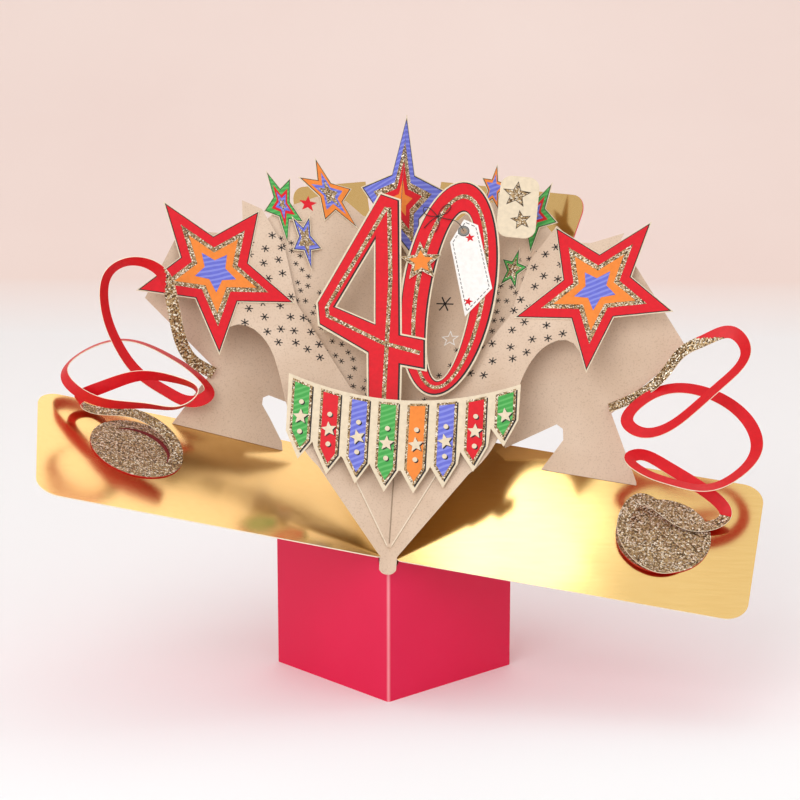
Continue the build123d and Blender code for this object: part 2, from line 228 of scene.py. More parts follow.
def cover_material():
    # Crimson printed cover board with a soft varnish; the front crease is rubbed pale
    material, tree = blank("crimson board")
    where = add(tree, "ShaderNodeTexCoord").outputs["Object"]
    cloud = noise(tree, where, 71.4, 4.0)
    grain = noise(tree, where, 1.43)
    field = ramp(tree, cloud, [(0.25, linear("#D60B44")), (0.75, linear("#E0134C"))])
    axes = add(tree, "ShaderNodeSeparateXYZ", links={0: where})
    values = {1: -TUBE.x * MM}
    away = add(tree, "ShaderNodeMath", links={0: axes.outputs[0]}, values=values, operation="ADD")
    beside = add(tree, "ShaderNodeMath", links={0: away.outputs[0]}, operation="ABSOLUTE")
    values = {"From Min": 0.25 * MM, "From Max": 1.1 * MM, "To Min": 1.0, "To Max": 0.0}
    rub = add(tree, "ShaderNodeMapRange", links={"Value": beside.outputs[0]}, values=values)
    values = {1: (TUBE.y - 58.0) * MM}
    front = add(tree, "ShaderNodeMath", links={0: axes.outputs[1]}, values=values, operation="LESS_THAN")
    links = {0: rub.outputs[0], 1: front.outputs[0]}
    worn = add(tree, "ShaderNodeMath", links=links, operation="MULTIPLY")
    broken = add(tree, "ShaderNodeMath", links={0: worn.outputs[0], 1: cloud}, operation="MULTIPLY")
    colour = blend(tree, broken.outputs[0], field, linear("#F3B9BE"))
    values = {"To Min": 0.36, "To Max": 0.48}
    rough = add(tree, "ShaderNodeMapRange", links={"Value": cloud}, values=values)
    normal = bumped(tree, grain, 0.08, 0.2)
    links = {"Base Color": colour, "Roughness": rough.outputs[0], "Normal": normal}
    finish_shader(tree, {"Specular IOR Level": 0.3}, links)
    return material


MATERIALS = {}


def make_materials(settings):
    # Kraft card; a darker kraft painted as the shade in a crease, and a paler one where a cut opens the
    # fibres
    MATERIALS["kraft"] = kraft_material("kraft card", "#DAC4AF", "#CDB49D")
    MATERIALS["shade"] = kraft_material("painted crease shade kraft", "#A38D77", "#937E69")
    MATERIALS["edge"] = kraft_material("cut kraft edge", "#EFE4D2", "#E4D5BF")
    MATERIALS["foil"] = foil_material()
    MATERIALS["glitter"] = glitter_material(settings.flake)
    MATERIALS["cover"] = cover_material()
    # Bare card under the prints and along cut edges: pale and matt
    MATERIALS["core"] = ink_material("cut board edge", linear("#EFE3CC"), rough=0.8)
    MATERIALS["cream"] = ink_material("cream card", linear("#DFD0B6"), rough=0.7)
    MATERIALS["white"] = ink_material("white card", linear("#EDEBE8"), rough=0.65)
    # Printed inks: a low satin, with paler hatching drawn over the green and the blue
    MATERIALS["red"] = ink_material("red ink", settings.red, rough=0.42)
    MATERIALS["orange"] = ink_material("orange ink", settings.orange)
    hatch = linear("#5DB35F")
    MATERIALS["green"] = ink_material("green ink", settings.green, hatch=hatch, gap=2.4)
    hatch = linear("#8289DC")
    MATERIALS["blue"] = ink_material("lilac blue ink", settings.blue, hatch=hatch, gap=2.6)
    MATERIALS["black"] = ink_material("black ink", linear("#241F20"))
    MATERIALS["grey"] = ink_material("grey ink", linear("#84827E"))
    # The spirals' red card, a little glossier than the inks, and a dark red painted as the shade in the
    # cut beside the left one
    MATERIALS["spiral"] = ink_material("red spiral card", linear("#D0101C"), rough=0.4)
    MATERIALS["slot"] = ink_material("shaded red cut", linear("#701016"))


# Frames of the flat pieces, in millimetres, as the solids have them


def leaned(place):
    there, back = Matrix.Translation(TUBE + NOTCH), Matrix.Translation(-NOTCH)
    return there @ Matrix.Rotation(LEAN, 4, "Y") @ back @ place


def basis(origin, across, facing):
    face = Vector(facing).normalized()
    side = Vector(across).normalized()
    place = Matrix((side, face.cross(side), face)).transposed().to_4x4()
    place.translation = origin
    return place


def leaning(origin, facing):
    return leaned(basis(origin, Vector((0, 0, 1)).cross(facing), facing))


def petal(hand, forward=0.0):
    facing = Vector((-hand * PETAL[0], PETAL[1], PETAL[2])).normalized()
    return leaning(NOTCH + facing * forward, facing)


def tilted(y, z, angle, forward=0.0):
    facing = Vector((0, -math.cos(math.radians(angle)), math.sin(math.radians(angle))))
    return leaning(Vector((0, y, z)) + facing * forward, facing)


def numeral_plane(level):
    return tilted(*NUMERALS, level * LAYER)


LEFT_WING = basis(TUBE + NOTCH, (0.9277, 0.2764, -0.253), (0.3345, -0.3058, 0.892))
RIGHT_WING = basis(TUBE + NOTCH, (0.9807, -0.1478, -0.127), (0.0173, -0.5797, 0.814))


# Outlines


def star(radius, first=90.0, centre=(0.0, 0.0), waist=WAIST):
    out = []
    for k in range(10):
        reach = radius if k % 2 == 0 else radius * waist
        angle = math.radians(first + 36 * k)
        out.append((centre[0] + reach * math.cos(angle), centre[1] + reach * math.sin(angle)))
    return out


def mapped(outline, centre, across, up):
    out = []
    for x, y in outline:
        out.append((centre[0] + x * across[0] + y * up[0], centre[1] + x * across[1] + y * up[1]))
    return out


def mirrored(outline, hand):
    return [(-hand * x, y) for x, y in outline]


def moved(outline, x, y):
    return [(a + x, b + y) for a, b in outline]


def ellipse(x, y, wide, high, turn, count=72):
    c, s = math.cos(math.radians(turn)), math.sin(math.radians(turn))
    out = []
    for k in range(count):
        a, b = wide * math.cos(math.tau * k / count), high * math.sin(math.tau * k / count)
        out.append((x + a * c - b * s, y + a * s + b * c))
    return out


def inset(outline, depth):
    """Moves every side inward by depth, or outward when depth is below zero."""
    count = len(outline)
    pairs = zip(outline, outline[1:] + outline[:1])
    turn = 1.0 if sum(a[0] * b[1] - b[0] * a[1] for a, b in pairs) > 0 else -1.0
    out = []
    for k in range(count):
        before, here, after = (Vector(outline[i % count]) for i in (k - 1, k, k + 1))
        first, second = (here - before).normalized(), (after - here).normalized()
        a = Vector((-first.y, first.x)) * turn
        b = Vector((-second.y, second.x)) * turn
        out.append(tuple(here + (a + b) * (depth / max(0.12, 1.0 + a.dot(b)))))
    return out


def stroke(path, width):
    """A line of even width along a path of points."""
    left, right = [], []
    for k, point in enumerate(path):
        here = Vector(point)
        first = (here - Vector(path[max(0, k - 1)])).normalized()
        second = (Vector(path[min(len(path) - 1, k + 1)]) - here).normalized()
        along = (first + second).normalized()
        across = Vector((-along.y, along.x)) * (width / 2)
        left.append(tuple(here + across))
        right.append(tuple(here - across))
    return left + right[::-1]


def lift(step):
    return CARD + INK * step


class Sheet:
    """Flat fields of print on one face, gathered and then made into one mesh."""

    def __init__(self, name, slot, place):
        self.name = name
        self.slot = slot
        self.place = place
        self.mesh = bmesh.new()
        self.keys = []

    def field(self, loops, step, key):
        if key not in self.keys:
            self.keys.append(key)
        points = [Vector((x, y, lift(step))) for loop in loops for x, y in loop]
        rings = [[Vector((x, y, 0)) for x, y in loop] for loop in loops]
        corners = [self.mesh.verts.new(self.place @ point * MM) for point in points]
        for tri in tessellate_polygon(rings):
            a, b, c = (points[i] for i in tri)
            order = tri if (b - a).cross(c - a).z > 0 else tri[::-1]
            face = self.mesh.faces.new([corners[i] for i in order])
            face.material_index = self.keys.index(key)

    def outlined(self, loop, step, key, margin=0.6, line=0.5):
        self.field([inset(loop, margin)], step, "black")
        self.field([inset(loop, margin + line)], step + 1, key)

    def data(self):
        data = bpy.data.meshes.new(self.name)
        self.mesh.to_mesh(data)
        self.mesh.free()
        for key in self.keys:
            data.materials.append(MATERIALS[key])
        return data

    def make(self):
        placed(self.name, self.data())


def linked(name, data):
    thing = bpy.data.objects.new(name, data)
    bpy.context.scene.collection.objects.link(thing)
    return thing


def placed(name, data):
    thing = linked(name, data)
    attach(thing, "root")
    return thing


def dress(node, keys, choose):
    """Gives each face of a solid its material by the face's middle and direction."""
    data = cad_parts[node].data
    data.materials.clear()
    for key in keys:
        data.materials.append(MATERIALS[key])
    for face in data.polygons:
        face.material_index = keys.index(choose(face.center, face.normal))


# How far a face has to look along a sheet's facing to be its front or back and not a cut edge
SHEET_SIDE = 0.8
PAGE_SIDE = 0.5
TUBE_SIDE = 0.3


def dress_sheet(node, face_key, edge_key, facings):
    def choose(middle, normal):
        flat = max(abs(normal.dot(facing)) for facing in facings) > SHEET_SIDE
        return face_key if flat else edge_key

    dress(node, [face_key, edge_key], choose)


def facing_of(place):
    return place.to_3x3().col[2].normalized()


# Settings


class CardSettings(bpy.types.PropertyGroup):
    """Sizes and colours of the printed and glued decoration"""

    flake: bpy.props.FloatProperty(
        name="Glitter flake", description="Size of one glitter flake", default=0.6 * MM, unit="LENGTH"
    )
    arm_spacing: bpy.props.FloatProperty(
        name="Arm asterisks", description="Least distance on the arms", default=6.4 * MM, unit="LENGTH"
    )
    fan_spacing: bpy.props.FloatProperty(
        name="Fan asterisks", description="Least distance on the fan", default=4.1 * MM, unit="LENGTH"
    )
    red: bpy.props.FloatVectorProperty(
        name="Red",
        description="Ink of the numerals and the large stars",
        default=linear("#D40C20"),
        size=4,
        min=0.0,
        max=1.0,
        subtype="COLOR",
    )
    orange: bpy.props.FloatVectorProperty(
        name="Orange",
        description="Ink of the orange stars and fields",
        default=linear("#E88432"),
        size=4,
        min=0.0,
        max=1.0,
        subtype="COLOR",
    )
    green: bpy.props.FloatVectorProperty(
        name="Green",
        description="Ink of the green stars and flags",
        default=linear("#3F9E48"),
        size=4,
        min=0.0,
        max=1.0,
        subtype="COLOR",
    )
    blue: bpy.props.FloatVectorProperty(
        name="Blue",
        description="Ink of the crown and the blue star",
        default=linear("#646BCC"),
        size=4,
        min=0.0,
        max=1.0,
        subtype="COLOR",
    )
    lamp_power: bpy.props.FloatProperty(
        name="Lamp power", description="Power of the main lamp", default=13.0, unit="POWER"
    )


# Operators


class CARD_OT_base(bpy.types.Operator):
    """Dress the folded tube with its rear flaps and the two gold wings"""

    bl_idname = "card.base"
    bl_label = "Base and wings"

    def execute(self, context):
        def tube(middle, normal):
            side = normal.dot((Vector((middle.x, middle.y, 0)) - TUBE * MM).normalized())
            return "cover" if side > TUBE_SIDE else "foil" if side < -TUBE_SIDE else "core"

        dress("base_box", ["cover", "foil", "core"], tube)
        for node, wing in (("left_wing", LEFT_WING), ("right_wing", RIGHT_WING)):

            def page(middle, normal, up=facing_of(wing)):
                side = normal.dot(up)
                return "foil" if side > PAGE_SIDE else "cover" if side < -PAGE_SIDE else "core"

            dress(node, ["foil", "cover", "core"], page)
        return {"FINISHED"}


# Fields of the kraft sheets that carry asterisks, and the length of their strokes
ARM_FIELD = [(-22, 104), (-13, 103), (-28, 140), (-30.5, 172), (-35, 183), (-48, 183)]
ARM_FIELD += [(-58, 140), (-58, 131), (-48, 125)]
FAN_FIELD = [(-9, 100), (-1, 84), (11, 84), (0, 112)]
FAN_FIELD += [(-12, 146), (-24, 178), (-38, 184), (-30, 150)]
ARM_ASTERISK = 4.3 * MM
FAN_ASTERISK = 3.2 * MM
SEED = 7
# Most asterisks in a square metre before the spacing thins them, a stroke's width against its length and
# how far one may turn, in radians
DENSITY = 120000.0
STROKE = 0.13
SPIN = 0.5
# Place and half length of the fan's single asterisk, and the waist of its slim stars
BIG_ASTERISK = (-9.9, 143.7, 4.6)
SLIM_WAIST = 0.42
# The fold's slope in a petal's plane, its crease line of painted shade on either half and the pale cut
# edge
FOLD_SLOPE = 0.2146
CREASE_SHADE_ENDS = (8.0, 64.0)
CREASE_SHADE_GAP = 0.35
CREASE_SHADE_WIDTH = 0.3
FRONT_RIM = [(-0.2, 7.0), (-13.4, 50.0), (-12.9, 50.0), (0.3, 7.0)]
# Directions that the struts face
STRUTS = (("left_strut", (0.30, -0.89, 0.34)), ("right_strut", (-0.10, -0.94, 0.32)))


class CARD_OT_kraft(bpy.types.Operator):
    """Dress the kraft fan, arms and struts and print their asterisks"""

    bl_idname = "card.kraft"
    bl_label = "Kraft fan"

    def execute(self, context):
        petals = [facing_of(petal(-1)), facing_of(petal(1))]
        for node in ("arms", "front_fold", "fan"):
            dress_sheet(node, "kraft", "edge", petals)
        for node, facing in STRUTS:
            dress_sheet(node, "kraft", "edge", [Vector(facing).normalized()])
        settings = context.scene.card
        group = asterisk_group()
        for hand, name in HANDS:
            places = (
                ("arm", ARM_FIELD, 0.0, settings.arm_spacing, ARM_ASTERISK),
                ("fan", FAN_FIELD, -NEST, settings.fan_spacing, FAN_ASTERISK),
            )
            for part, field, forward, spacing, size in places:
                sheet = Sheet(name + "_" + part + "_print", "kraft_card", petal(hand, forward))
                sheet.field([mirrored(field, hand)], 1, "black")
                scatter(sheet, group, spacing, size, SEED + hand)
        sheet = Sheet("fan_print", "kraft_card", petal(1, -NEST))
        for turn in (4, 64, 124):
            c, s = math.cos(math.radians(turn)), math.sin(math.radians(turn))
            x, y, reach = BIG_ASTERISK
            ends = [(x - reach * c, y - reach * s), (x + reach * c, y + reach * s)]
            sheet.field([stroke(ends, 0.75)], 1, "black")
        pale = star(5.0, 100.0, (-1.9, 123.9), SLIM_WAIST)
        sheet.field([pale, inset(pale, 0.45)], 1, "white")
        sheet.make()
        for hand, name in HANDS:
            sheet = Sheet("front_crease_shade_and_rim_" + name, "kraft_card", petal(hand, LAYER))
            low, high = ((FOLD_SLOPE * up - CREASE_SHADE_GAP, up) for up in CREASE_SHADE_ENDS)
            strip = [low, high, (high[0] - CREASE_SHADE_WIDTH, high[1]), (low[0] - CREASE_SHADE_WIDTH, low[1])]
            # A thin strip of darker kraft is painted shade along the front fold's crease
            sheet.field([mirrored(strip, hand)], 1, "shade")
            sheet.field([mirrored(FRONT_RIM, hand)], 1, "edge")
            sheet.make()
        sheet = Sheet("fan_star_print", "kraft_card", petal(-1, -NEST))
        sheet.field([star(5.0, 80.0, (-12.9, 201.0), SLIM_WAIST)], 1, "red")
        sheet.make()
        return {"FINISHED"}


def asterisk_group():
    """Node group that scatters three stroke asterisks over a flat panel."""
    tree = bpy.data.node_groups.new("Asterisks", "GeometryNodeTree")
    for name, way, kind in (
        ("Geometry", "INPUT", "NodeSocketGeometry"),
        ("Spacing", "INPUT", "NodeSocketFloat"),
        ("Size", "INPUT", "NodeSocketFloat"),
        ("Seed", "INPUT", "NodeSocketInt"),
        ("Ink", "INPUT", "NodeSocketMaterial"),
        ("Geometry", "OUTPUT", "NodeSocketGeometry"),
    ):
        tree.interface.new_socket(name, in_out=way, socket_type=kind)
    given = add(tree, "NodeGroupInput").outputs
    links = {"Mesh": given["Geometry"], "Distance Min": given["Spacing"], "Seed": given["Seed"]}
    points = add(
        tree,
        "GeometryNodeDistributePointsOnFaces",
        links=links,
        values={"Density Max": DENSITY},
        distribute_method="POISSON",
    )
    values = {1: STROKE}
    thin = add(tree, "ShaderNodeMath", links={0: given["Size"]}, values=values, operation="MULTIPLY")
    links = {"Size X": given["Size"], "Size Y": thin.outputs[0]}
    bar = add(tree, "GeometryNodeMeshGrid", links=links, values={"Vertices X": 2, "Vertices Y": 2})
    joined = add(tree, "GeometryNodeJoinGeometry")
    for turn in (0.0, 60.0, 120.0):
        links = {"Geometry": bar.outputs["Mesh"]}
        values = {"Rotation": (0, 0, math.radians(turn))}
        turned = add(tree, "GeometryNodeTransform", links=links, values=values)
        tree.links.new(turned.outputs[0], joined.inputs[0])
    links = {key: points.outputs[key] for key in ("Points", "Rotation")}
    links["Instance"] = joined.outputs[0]
    copies = add(tree, "GeometryNodeInstanceOnPoints", links=links)
    values = {0: (0, 0, -SPIN), 1: (0, 0, SPIN)}
    spin = add(tree, "FunctionNodeRandomValue", values=values, data_type="FLOAT_VECTOR")
    links = {"Instances": copies.outputs[0], "Rotation": spin.outputs[0]}
    spun = add(tree, "GeometryNodeRotateInstances", links=links, values={"Local Space": True})
    real = add(tree, "GeometryNodeRealizeInstances", links={0: spun.outputs[0]})
    links = {0: real.outputs[0], "Material": given["Ink"]}
    inked = add(tree, "GeometryNodeSetMaterial", links=links)
    add(tree, "NodeGroupOutput", links={0: inked.outputs[0]})
    return tree


def scatter(sheet, group, spacing, size, seed):
    """Runs the asterisk group on a sheet's field and places the result as a plain mesh."""
    panel = linked(sheet.name, sheet.data())
    modifier = panel.modifiers.new("asterisks", "NODES")
    modifier.node_group = group
    given = {"Spacing": spacing, "Size": size, "Seed": seed, "Ink": MATERIALS["black"]}
    for item in group.interface.items_tree:
        if item.in_out == "INPUT" and item.name in given:
            modifier[item.identifier] = given[item.name]
    bpy.context.view_layer.update()
    ready = panel.evaluated_get(bpy.context.evaluated_depsgraph_get())
    data = bpy.data.meshes.new_from_object(ready)
    bpy.data.objects.remove(panel)
    placed(sheet.name, data)


# Inks of the fuller small stars from the rim inward, and the scales of the stars inside them
GREEN_STAR = ("green", "red", "blue", "glitter")
ORANGE_STAR = ("orange", "blue", "glitter")
INNER_STARS = (0.58, 0.38, 0.2)
# Each small star's node, half, centre, sideways and upward reach, level on the fan and inks
SMALL_STARS = (
    ("green_star_left", -1, (-27.0, 199.6), (8.8, 10.8), (-6.2, 20.8), 1, GREEN_STAR),
    ("orange_star_left", -1, (-0.7, 206.6), (14.7, -3.7), (-4.8, 22.8), 0, ORANGE_STAR),
    ("blue_star_left", -1, (-17.5, 178.2), (7.2, -10.3), (4.1, 14.8), 2, ("blue", "glitter")),
    ("orange_star_right", 1, (-1.4, 214.7), (8.0, -1.5), (-1.8, 15.6), 0, ("orange", "blue")),
    ("green_star_right", 1, (24.4, 200.3), (12.5, -9.9), (4.9, 21.1), 0, GREEN_STAR),
    ("small_star_right", 1, (21.1, 167.2), (7.9, -1.8), (0.2, 13.6), 0, ("green", "glitter")),
)
# The large stars' middle and half size in a petal's plane, and the angle of their first point
RED_STAR = (-67.4, 158.7)
RED_STAR_HALF = (42.1, 47.6)
RED_STAR_TURN = 118.0
# Scale and width of the glitter band in them, and scale and waist of the blue star inside it
BAND = 0.665
BAND_WIDTH = 2.5
HEART = (0.26, 0.5)


class CARD_OT_stars(bpy.types.Operator):
    """Print the two large and the six small stars"""

    bl_idname = "card.stars"
    bl_label = "Stars"

    def execute(self, context):
        for hand, node, turn in ((-1, "left_star", 3.4), (1, "right_star", 0.0)):
            place = petal(hand, LAYER)
            dress_sheet(node, "cream", "core", [facing_of(place)])
            c, s = math.cos(math.radians(turn)), math.sin(math.radians(turn))

            def ring(scale, waist=WAIST):
                wide, high = (half * scale for half in RED_STAR_HALF)
                outline = star(1.0, RED_STAR_TURN, waist=waist)
                across, up = (wide * c, wide * s), (-high * s, high * c)
                return mirrored(mapped(outline, RED_STAR, across, up), hand)

            sheet = Sheet(node + "_print", "red_print", place)
            sheet.outlined(ring(1.0), 1, "red", 0.4)
            band = ring(BAND)
            sheet.field([band], 3, "glitter")
            sheet.field([inset(band, BAND_WIDTH)], 4, "orange")
            sheet.field([ring(*HEART)], 5, "blue")
            sheet.make()
        for node, hand, centre, across, up, level, inks in SMALL_STARS:
            place = petal(hand, -NEST + LAYER * (1 + level))
            dress_sheet(node, "cream", "core", [facing_of(place)])
            sheet = Sheet(node + "_print", inks[0] + "_print", place)
            sheet.outlined(mapped(star(1.0), centre, across, up), 1, inks[0], 0.35, 0.4)
            for k, (ink, scale) in enumerate(zip(inks[1:], INNER_STARS)):
                sheet.field([mapped(star(scale), centre, across, up)], 3 + k, ink)
            sheet.make()
        return {"FINISHED"}


# The crown star's middle, the lean and turn of its halves, its shape and its fields from the rim inward
CROWN = (-5.1, 57.0, 232.4)
CROWN_TURN = 35.0
CROWN_RADIUS = 29.0
CROWN_STRETCH = 1.8
CROWN_LEG = 0.78
CROWN_FIELDS = ((0.965, "black"), (0.93, "blue"), (0.68, "glitter"), (0.45, "red"), (0.24, "orange"))


class CARD_OT_crown(bpy.types.Operator):
    """Print the two faces of the folded crown star"""

    bl_idname = "card.crown"
    bl_label = "Crown star"

    def execute(self, context):
        turn = tilt = math.radians(CROWN_TURN)
        crease = Vector((0, math.sin(tilt), math.cos(tilt)))
        front = Vector((0, -math.cos(tilt), math.sin(tilt)))
        facings = []
        for hand, name in HANDS:
            facing = front * math.cos(turn) + Vector((hand * math.sin(turn), 0, 0))
            place = leaned(basis(Vector(CROWN), crease.cross(facing), facing))
            facings.append(facing_of(place))
            below = place @ Matrix.Translation((0, 0, -CARD))
            sheet = Sheet("crown_" + name + "_print", "blue_print", below)
            for step, (scale, ink) in enumerate(CROWN_FIELDS):
                points = [(x, y * CROWN_STRETCH) for x, y in star(CROWN_RADIUS * scale)]
                for leg in (4, 6):
                    points[leg] = (points[leg][0] * CROWN_LEG, points[leg][1] * CROWN_LEG)
                half = points[0:6] if hand < 0 else points[5:10] + points[0:1]
                sheet.field([half], step + 1, ink)
            sheet.make()
        dress_sheet("crown_star", "cream", "core", facings)
        return {"FINISHED"}


# Outline, window and glitter lines of the four
FOUR = [(-15.5, 107.4), (-4.6, 104), (0, 31), (12.6, 29), (13.5, 11.7), (1, 13.5), (1.8, -9.8)]
FOUR += [(-15, -10.3), (-17, 19.5), (-42.2, 33.3), (-44, 45.5)]
FOUR_WINDOW = [(-16.8, 78.5), (-33.4, 43.9), (-14.3, 36.3)]
FOUR_SLOPE = [(-11.6, 99), (-38.4, 43), (-37.6, 38.5), (-9, 25.5), (9.5, 21.2)]
FOUR_STEM = [(-10.3, 99), (-7.4, 60), (-7.0, -6)]
GLITTER_LINE = 2.1
# Outline and hole of the zero and the two sides of its glitter line, each as the centre and half sizes
# of an ellipse, and the turn of all four
ZERO = (22.5, 57.5, 24, 59)
ZERO_HOLE = (23.5, 53, 10, 45.5)
ZERO_LINE = ((22.9, 55.6, 17.8, 53.2), (22.9, 55.4, 15.7, 51.1))
ZERO_TURN = -6
# Centre of the star between the numerals
MIDDLE_STAR = (7.5, 69.9)
# The swing tag's outline, the pitch and ends of the dashes along it, its eyelet and its printed bow
TAG = [(28.1, 94.5), (35.3, 91.6), (43.9, 57.6), (31, 41.8), (21.6, 81.5)]
DASH_PITCH = 2.4
DASH = (0.15, 0.8)
EYELET = (28.2, 88)
KNOT = (14.6, 95.4)
BOW = (
    [EYELET, (26, 91.5), (23, 93.6), (19, 94.2), KNOT],
    [KNOT, (10.5, 99.5), (7.5, 99.8), (7.6, 97), (10.5, 95.4), KNOT],
    [KNOT, (16.6, 100), (19.8, 102.4), (21, 100.4), (18.8, 97.4), KNOT],
    [KNOT, (11, 92.4), (8, 88.5)],
    [KNOT, (15.6, 91), (13.8, 86.5)],
)


class CARD_OT_numerals(bpy.types.Operator):
    """Print the numerals, the star between them, the swing tag and the plaque"""

    bl_idname = "card.numerals"
    bl_label = "Numerals"

    def execute(self, context):
        facing = [facing_of(numeral_plane(0))]
        for node in ("numeral_zero", "numeral_four", "centre_star", "plaque"):
            dress_sheet(node, "cream", "core", facing)
        dress_sheet("swing_tag", "white", "core", facing)

        sheet = Sheet("zero_print", "red_print", numeral_plane(0))

        def oval(shape, grown=0):
            x, y, wide, high = shape
            return ellipse(x, y, wide + grown, high + grown, ZERO_TURN)

        sheet.field([oval(ZERO, -0.9), oval(ZERO_HOLE, 0.7)], 1, "black")
        red = [oval(ZERO, -1.6), oval(ZERO_HOLE, 1.3)]
        sheet.field([moved(loop, -0.25, 0.1) for loop in red], 2, "red")
        sheet.field([oval(side) for side in ZERO_LINE], 3, "glitter")
        sheet.make()

        sheet = Sheet("four_print", "red_print", numeral_plane(1))
        sheet.field([inset(FOUR, 0.9), inset(FOUR_WINDOW, -0.7)], 1, "black")
        red = [inset(FOUR, 1.5), inset(FOUR_WINDOW, -1.2)]
        sheet.field([moved(loop, -0.3, 0.15) for loop in red], 2, "red")
        sheet.field([stroke(FOUR_SLOPE, GLITTER_LINE)], 3, "glitter")
        sheet.field([stroke(FOUR_STEM, GLITTER_LINE)], 4, "glitter")
        sheet.make()

        sheet = Sheet("centre_star_print", "orange_print", numeral_plane(2))
        sheet.field([star(10.6, 96, MIDDLE_STAR)], 1, "glitter")
        sheet.field([star(6.4, 96, MIDDLE_STAR, 0.5)], 2, "orange")
        sheet.make()

        sheet = Sheet("tag_print", "white_card", numeral_plane(1))
        border = inset(TAG, 1.3)
        for start, end in zip(border, border[1:] + border[:1]):
            a, b = Vector(start), Vector(end)
            count = max(2, round((b - a).length / DASH_PITCH))
            for k in range(count):
                ends = [tuple(a.lerp(b, (k + part) / count)) for part in DASH]
                sheet.field([stroke(ends, 0.35)], 1, "black")
        for outer, inner, step, ink in ((2.9, 1.6, 2, "black"), (2.6, 1.65, 3, "grey")):
            sheet.field([ellipse(*EYELET, size, size, 0, 24) for size in (outer, inner)], step, ink)
        sheet.field([star(2.6, 100, (31.5, 84.5))], 1, "red")
        sheet.field([star(2.4, 80, (32.3, 49.8))], 1, "red")
        for path in BOW:
            sheet.field([stroke(rounded(path), 0.4)], 4, "black")
        sheet.make()

        sheet = Sheet("plaque_print", "cream_card", numeral_plane(-1))
        for radius, first, centre in ((7.6, 84, (54.2, 110.0)), (5.6, 100, (57.0, 96.0))):
            sheet.outlined(star(radius, first, centre), 1, "glitter", 0.0, 0.3)
        sheet.make()
        return {"FINISHED"}


def rounded(path, steps=5):
    """Points of a smooth curve through a path."""
    out = []
    for k in range(len(path) - 1):
        p = [Vector(path[min(len(path) - 1, max(0, k + i))]) for i in (-1, 0, 1, 2)]
        for j in range(steps):
            t = j / steps
            a = 2 * p[1] + (p[2] - p[0]) * t
            b = (2 * p[0] - 5 * p[1] + 4 * p[2] - p[3]) * t * t
            c = (3 * p[1] - p[0] - 3 * p[2] + p[3]) * t**3
            out.append(tuple((a + b + c) / 2))
    return out + [path[-1]]


# The banner's flags from the left, each with its drop and ink, and the row they fill
FLAGS = ((40, "green"), (43, "red"), (44, "blue"), (46, "green"))
FLAGS += ((46, "orange"), (44, "blue"), (38, "red"), (29, "green"))
ROW_MIDDLE = 3.0
ROW_WIDTH = 114.0
ROW_LOW = 40
ROW_SAG = 11
# A flag's gap to its neighbour, the height of its point, and the margins of its glitter and ink
FLAG_GAP = 0.5
FLAG_POINT = 11
GLITTER_MARGIN = 1.7
INK_MARGIN = 2.9
FLAG_STAR = 3.9
# How far the black below a flag or a shape is moved
FLAG_SHADOW = (0.7, -0.5)
SHAPE_SHADOW = (0.6, -0.5)
# Radius and offset of the dots, on flags that hang further than this
DOT = 1.2
DOT_RISE = 7.4
DOTTED_DROP = 35


class CARD_OT_banner(bpy.types.Operator):
    """Print the flags of the banner"""

    bl_idname = "card.banner"
    bl_label = "Banner"

    def execute(self, context):
        place = tilted(*BANNER)
        dress_sheet("banner", "cream", "core", [facing_of(place)])
        pitch = ROW_WIDTH / len(FLAGS)
        sheet = Sheet("banner_print", "cream_card", place)

        def sagging(x):
            return ROW_LOW + ROW_SAG * ((x - ROW_MIDDLE) / (ROW_WIDTH / 2)) ** 2

        for k, (drop, ink) in enumerate(FLAGS):
            first = ROW_MIDDLE - ROW_WIDTH / 2 + k * pitch
            middle, last = first + pitch / 2, first + pitch
            flag = [
                (first + FLAG_GAP, sagging(first)),
                (first + FLAG_GAP, sagging(first) - drop + FLAG_POINT),
                (middle, sagging(middle) - drop),
                (last - FLAG_GAP, sagging(last) - drop + FLAG_POINT),
                (last - FLAG_GAP, sagging(last)),
            ]
            sheet.field([moved(inset(flag, GLITTER_MARGIN), *FLAG_SHADOW)], 1, "black")
            sheet.field([inset(flag, GLITTER_MARGIN)], 2, "glitter")
            sheet.field([inset(flag, INK_MARGIN)], 3, ink)
            centre = sagging(middle) - drop / 2 + 1.0
            shapes = [star(FLAG_STAR, 90 + 8 * (k % 3), (middle, centre), 0.45)]
            for up in (-DOT_RISE, DOT_RISE):
                if drop > DOTTED_DROP:
                    shapes.append(ellipse(middle, centre + up, DOT, DOT, 0, 20))
            for shape in shapes:
                sheet.field([moved(shape, *SHAPE_SHADOW)], 4, "black")
                sheet.field([shape], 5, "cream")
        sheet.make()
        return {"FINISHED"}


# The discs on the wings, and the radius at which the left ribbon leaves its disc
LEFT_DISC = (-123.0, 50.5)
RIGHT_DISC = (126.6, 43.1)
DISC_RADIUS = 23.0
DISC_BOTTOM = 0.75
DISC_TOP = 1.2
DISC_SIDES = 96
RIM_RADIUS = 19.6
# A ribbon's half width, half thickness and least height over its wing, and how finely it is cut up
RIBBON_HALF = 3.1
RIBBON_SKIN = 0.2
RIBBON_FLOOR = 0.8
RIBBON_PITCH = 1.2
COLUMNS = 9
SMOOTHING = 3
# A face of the solid that looks this far along the ribbon is its cut end
END_ON = 0.6
# How far the change from red to glitter slants across a ribbon, in path points
SLANT = 0.5
# Materials of a spiral: its card, its glitter and its cut edges
SPIRAL_KEYS = ("spiral", "glitter", "core")
# Path points before and after which each ribbon shows glitter
LEFT_GLITTER = (6.4, 29.3)
RIGHT_GLITTER = (5.0, 25.8)
# Radius, depth and first and last angle of the painted shade of the cut beside the left ribbon's start
CUT_SHADE = (16.4, 2.8, -30.0, 130.0)
# Angle and rise of the left ribbon's first points over its disc
LEFT_RIM = ((-20, -0.25), (2, 1.2), (28, 2.6), (52, 4.0), (76, 5.4), (102, 7.0))
